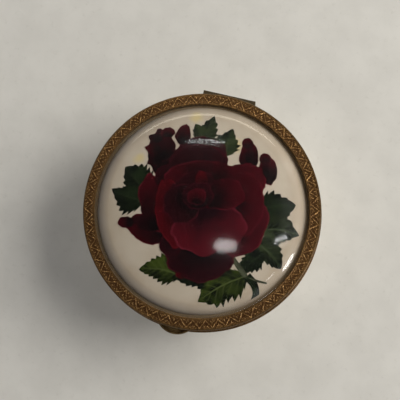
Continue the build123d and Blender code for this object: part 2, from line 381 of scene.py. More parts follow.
rose_red = petal_material("rose_red", srgb(9, 1, 2), srgb(50, 2, 8), srgb(90, 20, 32))
rose_scarlet = petal_material("rose_scarlet", srgb(24, 1, 3), srgb(62, 2, 8), srgb(92, 12, 20))
rose_wine = petal_material("rose_wine", srgb(18, 1, 5), srgb(70, 8, 18), srgb(98, 28, 40))
rose_black = petal_material("rose_black", srgb(6, 1, 2), srgb(30, 2, 6), srgb(70, 16, 26))
leaf_dark = leaf_material("leaf_dark", srgb(4, 8, 3), srgb(20, 30, 13), srgb(38, 48, 28))
leaf_grey = leaf_material("leaf_grey", srgb(10, 15, 7), srgb(42, 50, 28), srgb(62, 72, 46))
leaf_bright = leaf_material("leaf_bright", srgb(9, 15, 3), srgb(54, 66, 20), srgb(80, 90, 48))
stem_green = leaf_material("stem_green", srgb(44, 46, 34), srgb(72, 76, 56), srgb(96, 98, 78))


# ---------------- meshes
def shown(name, data):
    """A new object in the scene."""
    made = bpy.data.objects.new(name, data)
    bpy.context.scene.collection.objects.link(made)
    return made


def piece(name, points, faces, body, look, attributes=None, sharp=35.0):
    """A shaded mesh piece that rides on a body. points are in millimetres."""
    mesh = bpy.data.meshes.new(name)
    mesh.from_pydata((np.asarray(points, float) * mm).tolist(), [], faces)
    shell = bmesh.new()
    shell.from_mesh(mesh)
    bmesh.ops.recalc_face_normals(shell, faces=shell.faces)
    shell.to_mesh(mesh)
    shell.free()
    for key, values in (attributes or {}).items():
        kept = mesh.attributes.new(key, "FLOAT", "POINT")
        kept.data.foreach_set("value", np.asarray(values, np.float32).ravel())
    mesh.materials.append(look)
    mesh.shade_smooth()
    mesh.set_sharp_from_angle(angle=math.radians(sharp))
    made = shown(name, mesh)
    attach(made, body)
    return made


def section(*corners, steps=7):
    """An outline through corners given as (r, z) or (r, z, rounding)."""
    outline = []
    for i, corner in enumerate(corners):
        here = np.array(corner[:2], float)
        if len(corner) == 2:
            outline.append(here)
            continue
        to_last = np.array(corners[i - 1][:2]) - here
        to_next = np.array(corners[(i + 1) % len(corners)][:2]) - here
        to_last, to_next = to_last / np.linalg.norm(to_last), to_next / np.linalg.norm(to_next)
        half = math.acos(float(np.clip(to_last @ to_next, -1, 1))) / 2
        middle = to_last + to_next
        centre = here + middle / np.linalg.norm(middle) * corner[2] / math.sin(half)
        reach = corner[2] / math.tan(half)
        first, last = here + to_last * reach - centre, here + to_next * reach - centre
        angle = math.acos(float(np.clip(first @ last / corner[2] ** 2, -1, 1)))
        for k in range(steps):
            share = k / (steps - 1)
            weights = math.sin((1 - share) * angle), math.sin(share * angle)
            outline.append(centre + (weights[0] * first + weights[1] * last) / math.sin(angle))
    return [tuple(p) for p in outline]


def arc(centre_r, centre_z, radius, start, end, steps):
    """Points of an arc, between angles in degrees from the outward direction."""
    angles = [math.radians(start + (end - start) * k / (steps - 1)) for k in range(steps)]
    return [(centre_r + radius * math.cos(a), centre_z + radius * math.sin(a)) for a in angles]


def merge_on_axis(points, quads, rows, around):
    """Makes each of these rows of points, which lie on the box's axis, one point that its faces share."""
    kept = np.arange(len(points))
    for row in rows:
        kept[row * around : (row + 1) * around] = row * around
    faces = [list(dict.fromkeys(quad)) for quad in kept[quads].tolist()]
    faces = [face for face in faces if len(face) > 2]
    used = np.unique([i for face in faces for i in face])
    place = np.zeros(len(points), int)
    place[used] = np.arange(len(used))
    return points[used], [[int(place[i]) for i in face] for face in faces]


def turned(name, outline, body, slot, look, around=360, shape=None, span=None, relief=None):
    """A closed outline turned about the box's axis. shape may move its points, and span keeps only an arc."""
    r, z = np.array(outline, float).T
    count = len(r)
    whole = span is None
    start, end = (0.0, 2 * math.pi) if whole else span
    angle = np.linspace(start, end, around, endpoint=not whole)
    radius, height = np.repeat(r[:, None], around, 1), np.repeat(z[:, None], around, 1)
    if shape:
        radius, height = shape(radius, height, angle[None, :])
    points = np.stack([radius * np.cos(angle), radius * np.sin(angle), height], -1).reshape(-1, 3)
    rows, columns = np.meshgrid(np.arange(count), np.arange(around if whole else around - 1), indexing="ij")
    row, next_row = rows * around, (rows + 1) % count * around
    onward = (columns + 1) % around
    corners = [row + columns, row + onward, next_row + onward, next_row + columns]
    quads = np.stack(corners, -1).reshape(-1, 4)
    faces = quads.tolist()
    on_axis = [k for k in range(count) if r[k] < 1e-9]
    if on_axis:
        points, faces = merge_on_axis(points, quads, on_axis, around)
    if not whole:
        faces.append([k * around for k in range(count)])
        faces.append([k * around + around - 1 for k in reversed(range(count))])
    attributes = {"relief": relief(r[:, None], z[:, None], angle[None, :])} if relief else None
    return piece(name, points, faces, body, look, attributes)


def slab_faces(rows, columns, turned=False):
    """The faces of a slab whose points are a grid on top and then the same grid below it.

    turned lists each face the other way round. piece() makes them all face outward, but the diagonal that a face
    is split along still depends on this.
    """
    start = rows * columns
    faces = []
    for i in range(rows - 1):
        for j in range(columns - 1):
            a, d = i * columns + j, (i + 1) * columns + j
            b, c = a + 1, d + 1
            if turned:
                faces += [(a, b, c, d), (start + d, start + c, start + b, start + a)]
            else:
                faces += [(a, d, c, b), (start + a, start + b, start + c, start + d)]
    edge = list(range(columns))
    edge += [i * columns + columns - 1 for i in range(1, rows)]
    edge += [(rows - 1) * columns + j for j in range(columns - 2, -1, -1)]
    edge += [i * columns for i in range(rows - 2, 0, -1)]
    for a, b in zip(edge, edge[1:] + edge[:1]):
        faces.append((b, a, start + a, start + b) if turned else (a, b, start + b, start + a))
    return faces


def rounded_copy(node, body, look, width):
    """A CAD node's own shape with its edges eased."""
    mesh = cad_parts[node].data.copy()
    mesh.materials.clear()
    mesh.materials.append(look)
    made = shown(node + "_eased", mesh)
    weld = made.modifiers.new("weld", "WELD")
    weld.merge_threshold = 0.002 * mm
    bevel = made.modifiers.new("ease", "BEVEL")
    bevel.width, bevel.segments, bevel.limit_method = width * mm, 3, "ANGLE"
    bevel.angle_limit, bevel.harden_normals = math.radians(40), True
    mesh.shade_smooth()
    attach(made, body)
    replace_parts(made, node)
    return made


# ---------------- chased ornament
def oval(x, y, centre_x, centre_y, half_width, half_length, tilt=0.0):
    """The height of a rounded leaf-like lobe, 0 outside it and 1 on its crest."""
    c, s = math.cos(tilt), math.sin(tilt)
    across, along = (x - centre_x) * c + (y - centre_y) * s, (y - centre_y) * c - (x - centre_x) * s
    inside = 1 - (across / half_width) ** 2 - (along / half_length) ** 2
    return np.sqrt(np.clip(inside, 0, 1))


# a palmette's side lobes, in shares of its size: how far out and up, half width, half length; then the tilt
side_lobes = ((0.42, 0.46, 0.15, 0.38, -0.75), (0.80, 0.24, 0.13, 0.34, -1.25))


def palmette(x, y, size):
    """Five lobes that fan out, x along the band and y from its base."""
    height = oval(x, y, 0, 0.70 * size, 0.17 * size, 0.44 * size)
    for side in (-1, 1):
        for out, up, half_width, half_length, tilt in side_lobes:
            middle = side * out * size, up * size
            lobe = oval(x, y, *middle, half_width * size, half_length * size, side * tilt)
            height = np.maximum(height, lobe)
    return height


repeats = 56  # of the pattern, round the box
line_width = 0.13
fillet_width = 0.06
relief_low = -0.1  # lowest and highest places of a chased strip, from the plain surface
relief_high = 0.07


def chasing(along, across, repeat, width):
    """Height, 0 to 1, of a steep zigzag line with a palmette in each triangle, between two fillets. The waves
    run an odd number of times round the box, so that the repeats differ a little, as handwork does."""
    phase = (along / repeat) % 1.0
    lap = 2 * math.pi * along / repeat / repeats
    wander = 0.08 * np.sin(171 * lap + 1.7 * across) + 0.06 * np.sin(383 * lap)
    zig = (1 - np.abs(2 * phase - 1)) * (width - 0.3) + 0.15 + wander
    slope = math.atan((width - 0.3) / (repeat / 2))
    gap = np.abs(across - zig) * math.cos(slope)
    height = np.exp(-((gap / line_width) ** 2)) * (0.78 + 0.22 * np.sin(97 * lap + 0.9 * across))
    size = width / 2.6
    for middle, base in ((0.5, across), (0.0, width - across)):
        x = ((phase - middle + 0.5) % 1.0 - 0.5) * repeat
        leaf = palmette(x, base - 0.1, size) * (gap > 0.2)
        height = np.maximum(height, leaf * (0.72 + 0.22 * np.sin(211 * lap)))
    for edge in (0.04, width - 0.04):
        height = np.maximum(height, 0.9 * np.exp(-(((across - edge) / fillet_width) ** 2)))
    return height


def chased_strip(name, strip, body, points, shape, relief):
    """A finely divided strip that carries the pattern, with a number of points round each repeat."""
    looks = "antique_brass", chased_brass
    turned(name, strip, body, *looks, around=repeats * points, shape=shape, relief=relief)


def raised(pattern):
    """How far the pattern stands out from the plain surface."""
    return relief_low + (relief_high - relief_low) * pattern


def band_surface(r):
    """Height of the lid rim's sloping top at radius r."""
    return band_low + (rim_radius - r) * (band_high - band_low) / (rim_radius - lip_opening - lip_wide)


def rim_band_relief(r, z, angle):
    """Height of the rim's pattern, which its channel below doesn't have."""
    middle = (band_inner + band_outer) / 2
    width = band_outer - band_inner
    height = chasing(angle * middle, band_outer - r, 2 * math.pi * middle / repeats, width)
    return np.where(z > band_surface(r) - 0.5 * channel, height, 0.0)


def rim_band_shape(radius, height, angle):
    lift = raised(rim_band_relief(radius, height, angle))
    return radius, np.where(height > band_surface(radius) - 0.5 * channel, height + lift, height)


# ---------------- base
foot_outer = 25.2
foot_inner = 22.4
foot_height = 1.2
lip_outer = 32.6
lip_inner = 30.1
belly_height = 14.0  # height at which the bowl is widest
floor_height = 3.4
floor_turn = 3.0  # rounding between the bowl's floor and its inner wall
flare = lip_outer - foot_outer
belly = math.hypot(flare, belly_height - foot_height) ** 2 / 2 / flare  # radius of the bowl's outer curve
belly_axis = lip_outer - belly
inner_belly = lip_inner - belly_axis


def bowl():
    low_angle = -math.degrees(math.asin((belly_height - foot_height) / belly))
    centre_z = floor_height + floor_turn
    centre_reach = inner_belly - floor_turn
    turn_angle = -math.degrees(math.asin((belly_height - centre_z) / centre_reach))
    turn_r = belly_axis + centre_reach * math.cos(math.radians(turn_angle))
    foot = section(
        (foot_inner, foot_height, 0.3),
        (foot_inner, 0, 0.5),
        (foot_outer, 0, 0.5),
        (foot_outer, foot_height),
    )
    lip = section(
        (lip_outer, belly_height),
        (lip_outer, bowl_top, 0.6),
        (lip_inner, bowl_top, 0.6),
        (lip_inner, belly_height),
    )
    outline = [(0, foot_height)] + foot[:-1]
    outline += arc(belly_axis, belly_height, belly, low_angle, 0, 40)
    outline += lip[1:-1]
    outline += arc(belly_axis, belly_height, inner_belly, 0, turn_angle, 30)
    outline += arc(turn_r, centre_z, floor_turn, turn_angle, -90, 10)[1:]
    outline += [(turn_r * k / 6, floor_height) for k in range(5, -1, -1)]
    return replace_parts(turned("bowl", outline, "base", "glazed_porcelain", glaze), "base_bowl")


bowl()

ledge_under = bedding_high.z
ledge_top = neck_low.z
bead_radius = collar_high.x
band_wall = 33.4  # radius of the collar's outside
band_back = 32.75  # and of its inside
collar_inner = 29.3
collar_flange = 0.6  # thickness of the flange that turns down inside the bowl's lip
flange_bottom = 18.6
lower_bead = 33.75
lower_bead_top = 17.5
notch_line = 32.35  # y of the flat that the collar is cut back to at the hinge
notch_bottom = axis_z - leaf_gap
side_low = 17.75  # the collar is chased between these two heights
side_high = 20.7


def in_notch(radius, angle):
    return (np.abs(radius * np.cos(angle)) < notch_half) & (np.sin(angle) > 0)


def collar_shape(radius, height, angle):
    """Cuts the collar away round the hinge barrel."""
    cut = notch_line / np.maximum(np.sin(angle), 0.5)
    notch = in_notch(radius, angle) & (height > notch_bottom)
    wall = notch & (height < ledge_under + 0.02) & (radius > cut) & (radius < band_wall + 0.02)
    rest = notch & ~wall & (radius > cut)
    return np.where(rest, cut, radius), np.where(wall, notch_bottom, height)


def collar_band_relief(r, z, angle):
    """Height of the collar's pattern, which its channel behind doesn't have."""
    width = side_high - side_low
    height = chasing(angle * band_wall, side_high - z, 2 * math.pi * band_wall / repeats, width)
    return np.where(r > band_wall - 0.5 * channel, height, 0.0)


def collar_band_shape(radius, height, angle):
    lift = raised(collar_band_relief(radius, height, angle))
    return np.where(radius > band_wall - 0.5 * channel, radius + lift, radius), height


def collar():
    outline = section(
        (band_back, collar_low.z, 0.1),
        (lower_bead, collar_low.z, 0.3),
        (lower_bead, lower_bead_top, 0.3),
        (band_wall, lower_bead_top, 0.05),
        (band_wall, side_low),
        (band_wall - channel, side_low),
        (band_wall - channel, side_high),
        (band_wall, side_high),
        (band_wall, ledge_under, 0.05),
        (bead_radius, ledge_under, 0.4),
        (bead_radius, ledge_top, 0.4),
        (collar_inner, ledge_top, 0.35),
        (collar_inner, flange_bottom, 0.15),
        (collar_inner + collar_flange, flange_bottom, 0.15),
        (collar_inner + collar_flange, ledge_under),
        (band_back, ledge_under),
    )
    body = turned("collar_body", outline, "base", "antique_brass", aged_brass, around=720, shape=collar_shape)
    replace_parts(body, "base_collar")
    inner = band_wall - channel
    strip = [(inner, side_high), (inner, side_low)]
    strip += [(band_wall, z) for z in np.linspace(side_low, side_high, 26)]
    chased_strip("collar_chasing", strip, "base", 40, collar_band_shape, collar_band_relief)


collar()


def bedding():
    outline = section(
        (lip_inner, bedding_low.z),
        (lip_outer, bedding_low.z),
        (lip_outer, bedding_high.z),
        (lip_inner, bedding_high.z),
    )
    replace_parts(turned("bedding", outline, "base", "bedding_plaster", plaster), "collar_bedding")


bedding()


def neck():
    """An upstanding ring that stops short of the hinge on both sides."""
    neck_inner = neck_high.x - sheet
    outline = section(
        (neck_inner, neck_low.z),
        (neck_high.x, neck_low.z),
        (neck_high.x, neck_high.z, 0.32),
        (neck_inner, neck_high.z, 0.32),
    )
    gap = math.asin(notch_half / neck_high.x)
    span = (math.pi / 2 + gap, 2.5 * math.pi - gap)
    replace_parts(turned("neck", outline, "base", "inner_brass", inner_brass, span=span), "base_neck")


neck()

rounded_copy("catch_nib", "base", inner_brass, 0.03)
rounded_copy("hinge_leaf_base", "base", dark_brass, 0.12)
rounded_copy("hinge_pin", "base", steel, 0.04)
rounded_copy("hinge_leaf_lid", "lid", dark_brass, 0.12)


# ---------------- lid
def rim_notch(radius, height, angle):
    """Cuts the rim away over the hinge."""
    lowest = np.where(in_notch(radius, angle), axis_z + leaf_gap, -1.0)
    return radius, np.maximum(height, lowest)


def rim():
    skirt_inner = rim_radius - sheet
    outline = section(
        (skirt_inner, rim_low.z, 0.1),
        (rim_radius, rim_low.z, 0.25),
        (rim_radius, rim_low.z + 1.0, 0.1),
        (rim_radius, band_low, 0.5),
        (band_outer, band_surface(band_outer)),
        (band_outer, band_surface(band_outer) - channel),
        (band_inner, band_surface(band_inner) - channel),
        (band_inner, band_surface(band_inner)),
        (lip_opening + lip_wide, band_high, 0.06),
        (lip_opening, band_high - lip_deep, 0.06),
        (lip_opening, flange_under),
        (skirt_inner, flange_under, 0.1),
        steps=9,
    )
    body = turned("rim_body", outline, "lid", "antique_brass", aged_brass, around=720, shape=rim_notch)
    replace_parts(body, "lid_rim")
    strip = [(r, band_surface(r) - channel) for r in (band_inner, band_outer)]
    strip += [(r, band_surface(r)) for r in np.linspace(band_outer, band_inner, 26)]
    chased_strip("rim_chasing", strip, "lid", 42, rim_band_shape, rim_band_relief)


rim()


def dome_outline(inset, low):
    """The crystal's outline set in by inset, from its top down to a height."""
    meeting = math.degrees(math.atan2(shoulder_height - cap_centre, shoulder_middle))
    end = math.degrees(math.asin((low - shoulder_height) / (dome_shoulder - inset)))
    cap = arc(0, cap_centre, cap_sphere - inset, 90, meeting, 60)
    cap[0] = (0.0, cap[0][1])
    return cap + arc(shoulder_middle, shoulder_height, dome_shoulder - inset, meeting, end, 32)[1:]


def crystal():
    """A clear shell with a flat flange round its foot."""
    outline = dome_outline(0, crystal_edge)
    outline += section(
        (crystal_wall, crystal_edge),
        (crystal_wall, flange_under, 0.05),
        (crystal_high.x, flange_under, 0.1),
        (crystal_high.x, crystal_low.z, 0.1),
        (shoulder_middle, crystal_low.z),
    )[1:-1]
    outline += reversed(dome_outline(crystal_thick, crystal_low.z))
    made = turned("crystal", outline, "lid", "clear_crystal", crystal_glass, around=400)
    made.data.materials.append(crystal_underside)
    for face in made.data.polygons:
        r, z = math.hypot(face.center.x, face.center.y) / mm, face.center.z / mm
        if r < crystal_wall - 0.5 * crystal_thick and crystal_low.z < z < dome_height(r, crystal_thick / 2):
            face.material_index = 1
    return made


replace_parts(crystal(), "lid_crystal")


def plaque():
    """A hollow porcelain dome with a flat rim."""
    rim_top = crystal_low.z
    outline = dome_outline(picture_inset, rim_top)
    outline += section(
        (shoulder_middle, rim_top),
        (plaque_high.x, rim_top, 0.15),
        (plaque_high.x, plaque_low.z, 0.15),
        (shoulder_middle, plaque_low.z),
    )[1:-1]
    hollow = dome_outline(picture_inset + plaque_wall, shoulder_height)
    outline += [(hollow[-1][0], plaque_low.z)] + hollow[::-1]
    return turned("plaque", outline, "lid", "painted_porcelain", cream_enamel)


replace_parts(plaque(), "picture_plaque")

press_middle = 24.0  # radius of the ring pressed into the back plate
press_width = 1.6
press_depth = 0.3


def back_plate():
    press_top = plate_low.z + press_depth
    press_in, press_out = press_middle - press_width / 2, press_middle + press_width / 2
    outline = [(0.0, plate_high.z), (0.0, press_top)]
    outline += [(4.0 * k, press_top) for k in range(1, 5)]
    outline += section(
        (20.0, press_top, 0.05),
        (press_in, press_top, 0.2),
        (press_in, plate_low.z, 0.28),
        (press_out, plate_low.z, 0.28),
        (press_out, press_top, 0.2),
        (plate_high.x, press_top, 0.1),
        (plate_high.x, plate_high.z, 0.1),
    )
    return turned("back_plate", outline, "lid", "inner_brass", inner_brass)


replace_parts(back_plate(), "lid_back_plate")

ring_inner = 31.6


def retaining_ring():
    outline = section(
        (ring_inner, ring_low.z, 0.3),
        (ring_high.x, ring_low.z, 0.1),
        (ring_high.x, ring_high.z),
        (ring_inner, ring_high.z, 0.1),
    )
    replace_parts(turned("retaining_ring_eased", outline, "lid", "inner_brass", inner_brass), "retaining_ring")


retaining_ring()

# ---------------- thumb tab
tab_tip = -tab_low.y
tab_radius = 6.3
tab_roll = 0.28  # rounding of the tab's edge
tab_dish = 0.3  # depth of the dish inside it
rib_height = 0.08
rib_spacing = 0.46


def ramp(value, start, length):
    """Goes from 0 at start to 1 at a length beyond it."""
    return min(max((value - start) / length, 0), 1)


def thumb_tab():
    """A half-round lift, dished inside a rolled edge, with fine ridges that follow its edge."""
    centre_y = tab_radius - tab_tip
    half = tab_high.x
    rows, columns = 22, 64
    top, bottom = [], []
    for i in range(rows):
        out = i / (rows - 1)
        for k in range(columns):
            x = half * (2 * k / (columns - 1) - 1)
            back = -math.sqrt((rim_radius - 0.25) ** 2 - x * x)
            front = min(centre_y - math.sqrt(max(tab_radius**2 - x * x, 0)), back)
            y = back + (front - back) * out
            from_edge = tab_radius - math.hypot(x, y - centre_y)
            rolled = max(tab_roll - from_edge, 0)
            height = tab_high.z - tab_roll + math.sqrt(max(tab_roll**2 - rolled**2, 0))
            dish = tab_dish * ramp(from_edge, 0.5, 0.25)
            ribs = rib_height * math.cos(from_edge * 2 * math.pi / rib_spacing) * ramp(from_edge, 0.7, 0.2)
            top.append((x, y, height - dish + ribs))
            bottom.append((x, y, tab_low.z + rolled * 0.8))
    points, faces = top + bottom, slab_faces(rows, columns)
    made = piece("thumb_lift", points, faces, "lid", tab_brass_painted_light)
    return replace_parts(made, "thumb_tab")


thumb_tab()


# ---------------- the picture
layer = 0.021  # from the start of one layer of enamel to the next
first_layer = 0.004
enamel = 0.009  # thickness of an enamel shape at its edge
crown = 0.01  # and how much more at its middle
picture_reach = 28.4  # radius that the picture is kept within


def curve_through(points, per=7):
    """A smooth open line through points, as an array."""
    given = np.array(points, float)
    last = len(given) - 1
    made = []
    for i in range(last):
        before, start, end, after = (given[min(max(i + k, 0), last)] for k in (-1, 0, 1, 2))
        for k in range(per):
            t = k / per
            square = (2 * before - 5 * start + 4 * end - after) * t**2
            cube = (3 * start - before - 3 * end + after) * t**3
            made.append(0.5 * (2 * start + (end - before) * t + square + cube))
    made.append(given[-1])
    return np.array(made)


def level(number):
    """The height above the plaque's dome that a layer of enamel starts at."""
    return first_layer + layer * number


def spread(points_uv, lifts):
    """Points of the picture, lifted square to the dome that it is painted on."""
    placed = []
    for (u, v), lift in zip(np.asarray(points_uv, float), np.broadcast_to(lifts, len(points_uv))):
        out = math.hypot(u, v)
        pull = min(1.0, picture_reach / max(out, 1e-6))
        out *= pull
        x, y = on_lid(u * pull, v * pull)
        slope = out / (cap_sphere - picture_inset)
        if out > cap_reach(picture_inset):
            slope = (out - shoulder_middle) / (dome_shoulder - picture_inset)
        away = 1 + lift * slope / max(out, 1e-6)
        height = dome_height(out, picture_inset) + lift * math.sqrt(1 - slope**2)
        placed.append((x * away, y * away, height))
    return np.array(placed)


def enamel_piece(name, top, low, faces, look, stores):
    """One shape of the picture, from its upper and lower points."""
    points = np.concatenate([top, low])
    return piece(name, points, faces, "lid", look, stores, sharp=60)


def petal_edge(centre, heading, length, width, taper, bend, point, seed):
    """A petal's edge: an oval, wider at its far end by taper, bowed by bend and drawn out to a point."""
    way = np.array([math.cos(math.radians(heading)), math.sin(math.radians(heading))])
    aside = np.array([-way[1], way[0]])
    edge = []
    for turn in (2 * math.pi * k / 84 for k in range(84)):
        along, across = math.cos(turn), math.sin(turn)
        across *= (1 + taper * along) * (1 - point * max(along, 0) ** 2)
        wave = noise.noise(Vector((2.1 * math.cos(turn), 2.1 * math.sin(turn), seed)))
        ripple = noise.noise(Vector((7 * math.cos(turn), 7 * math.sin(turn), seed + 9.0)))
        swell = 1 + 0.13 * wave + 0.05 * ripple
        across += bend * (1 - along**2)
        edge.append(np.array(centre) + way * along * length / 2 * swell + aside * across * width / 2 * swell)
    return np.array(edge)


def petal(name, centre, heading, length, width, number, look, taper=0.0, bend=0.0, point=0.0):
    """A low enamel petal that heads away from its root; its streaks spread from there."""
    rings = 12
    edge = petal_edge(centre, heading, length, width, taper, bend, point, 0.37 * sum(map(ord, name)))
    middle = edge.mean(0)
    way = math.radians(heading)
    root = np.array(centre) - np.array([math.cos(way), math.sin(way)]) * length / 2
    shares = np.sin(np.linspace(0, 1, rings + 1) * math.pi / 2)[1:]
    flat = np.concatenate([middle[None]] + [middle + (edge - middle) * s for s in shares])
    out = np.concatenate([[0.0]] + [np.full(len(edge), s) for s in shares])
    base = level(number)
    count = len(edge)
    top = spread(flat, base + enamel + crown * (1 - out**4))
    low = spread(np.concatenate([edge, middle[None]]), base)
    faces = [(0, 1 + k, 1 + (k + 1) % count) for k in range(count)]
    for i in range(rings):
        a, b = 1 + i * count, 1 + (i + 1) * count
        faces += [(a + k, b + k, b + (k + 1) % count, a + (k + 1) % count) for k in range(count)]
    faces += [(b + k, b + count, b + (k + 1) % count) for k in range(count)]
    from_root = np.concatenate([flat, edge, middle[None]]) - root
    distance = np.linalg.norm(from_root, axis=1)
    sweep = (np.arctan2(from_root[:, 1], from_root[:, 0]) - way + math.pi) % (2 * math.pi) - math.pi
    stores = {
        "rim": np.concatenate([out, np.ones(count + 1)]),
        "along": distance / distance.max(),
        "sweep": sweep,
    }
    return enamel_piece(name, top, low, faces, look, stores)


bite = 0.34  # how deep a leaf's teeth are cut, as a share of its half width


def leaf(name, base, tip, width, bend, number, look, teeth, lean=0.0):
    """A toothed leaf from base to tip. bend bows its midrib, and lean makes one half wider."""
    base, tip = np.array(base, float), np.array(tip, float)
    length = np.linalg.norm(tip - base)
    way = (tip - base) / length
    aside = np.array([-way[1], way[0]])
    rows, halves = teeth * 8 + 1, 8
    points, along, across = [], [], []
    for i in range(rows):
        a = i / (rows - 1)
        centre = base + way * length * a + aside * bend * math.sin(math.pi * a)
        swell = math.sin(math.pi * a**0.82) ** 0.8 * (1 - 0.25 * a)
        tooth = (a * teeth) % 1.0
        ragged = 1 + 0.35 * noise.noise(Vector((a * 3.1, base[0], base[1])))
        for j in range(-halves, halves + 1):
            b = j / halves
            half = 0.5 * width * (1 + lean * (1 if b > 0 else -1)) * swell * ragged
            edge = abs(b) ** 3
            reach = half * (1 + edge * bite * (tooth - 0.4) * min(1.0, 6 * (1 - a)))
            forward = edge * swell * width * 0.07 * tooth + abs(b) * swell * 0.1 * width
            points.append(centre + aside * reach * b + way * forward * (1 - a))
            along.append(a)
            across.append(b)
    flat = np.array(points)
    across, along = np.array(across), np.array(along)
    fold = enamel + crown * (1 - np.abs(across)) * np.sin(np.pi * np.clip(along, 0.0, 1.0))
    top, low = spread(flat, level(number) + fold), spread(flat, level(number))
    stores = {"along": np.tile(along, 2), "across": np.tile(across, 2)}
    return enamel_piece(name, top, low, slab_faces(rows, 2 * halves + 1, turned=True), look, stores)


def stalk(name, through, start_width, end_width, number, look):
    """A tapering stem through points."""
    line = curve_through(through)
    step = np.gradient(line, axis=0)
    aside = np.stack([-step[:, 1], step[:, 0]], -1) / np.linalg.norm(step, axis=1)[:, None]
    count = len(line)
    columns = 7
    flat, height, across, along = [], [], [], []
    for i in range(count):
        share = i / (count - 1)
        half = (start_width + (end_width - start_width) * share) / 2
        for j in range(columns):
            b = 2 * j / (columns - 1) - 1
            flat.append(line[i] + aside[i] * half * b)
            height.append(level(number) + enamel + 2 * crown * math.sqrt(1 - b * b))
            across.append(b)
            along.append(share)
    flat = np.array(flat)
    top, low = spread(flat, np.array(height)), spread(flat, level(number))
    stores = {"along": np.tile(along, 2), "across": np.tile(across, 2)}
    return enamel_piece(name, top, low, slab_faces(count, columns), look, stores)


# leaves: name, base, tip, width, bend, layer, look, teeth, lean
for entry in (
    ("leaf_top_left", (1.4, 18.0), (4.0, 26.8), 5.2, 0.5, 0, leaf_grey, 5, -0.1),
    ("leaf_top_spur", (1.0, 18.2), (-1.4, 24.4), 5.0, -0.3, 1, leaf_grey, 5),
    ("leaf_top_right", (6.6, 14.4), (9.2, 22.8), 7.2, 0.2, 1, leaf_grey, 6, 0.1),
    ("leaf_left_upper", (-14.2, 5.0), (-21.4, 12.2), 9.4, 0.5, 0, leaf_dark, 7, -0.15),
    ("leaf_left_lower", (-15.4, 2.4), (-25.2, 6.0), 8.4, 0.6, 1, leaf_dark, 7, 0.2),
    ("leaf_bottom_left", (-5.4, -18.8), (-17.2, -16.8), 8.4, -1.0, 1, leaf_bright, 8, -0.1),
    ("leaf_under", (5.0, -21.0), (-7.4, -19.2), 6.0, -0.6, 0, leaf_dark, 7),
    ("leaf_bottom", (13.0, -18.6), (-0.8, -25.8), 10.6, -0.8, 2, leaf_bright, 8, 0.05),
    ("leaf_right_upper", (15.0, -0.6), (26.6, 1.0), 9.8, 0.5, 1, leaf_dark, 6, -0.2),
    ("leaf_right_middle", (16.4, -6.2), (27.2, -7.4), 9.0, 0.8, 2, leaf_grey, 6, 0.15),
    ("leaf_right_lower", (13.6, -8.6), (22.2, -16.6), 10.2, 1.0, 0, leaf_grey, 7, 0.1),
    ("leaf_right_low_spur", (17.6, -12.4), (10.4, -17.6), 6.8, 0.0, 1, leaf_dark, 6),
):
    leaf(*entry)

stalk("stem", [(8.6, -13.2), (10.4, -16.0), (12.4, -18.8)], 1.2, 1.6, 3, stem_green)
stalk("twig", [(12.0, -18.6), (14.2, -19.6), (16.0, -20.2), (18.2, -20.6)], 1.0, 0.45, 3, stem_green)
sepal = [(12.8, -18.8), (14.6, -20.8), (15.2, -23.0), (14.4, -25.0), (12.9, -26.6)]
stalk("sepal", sepal, 2.5, 1.0, 3, leaf_dark)

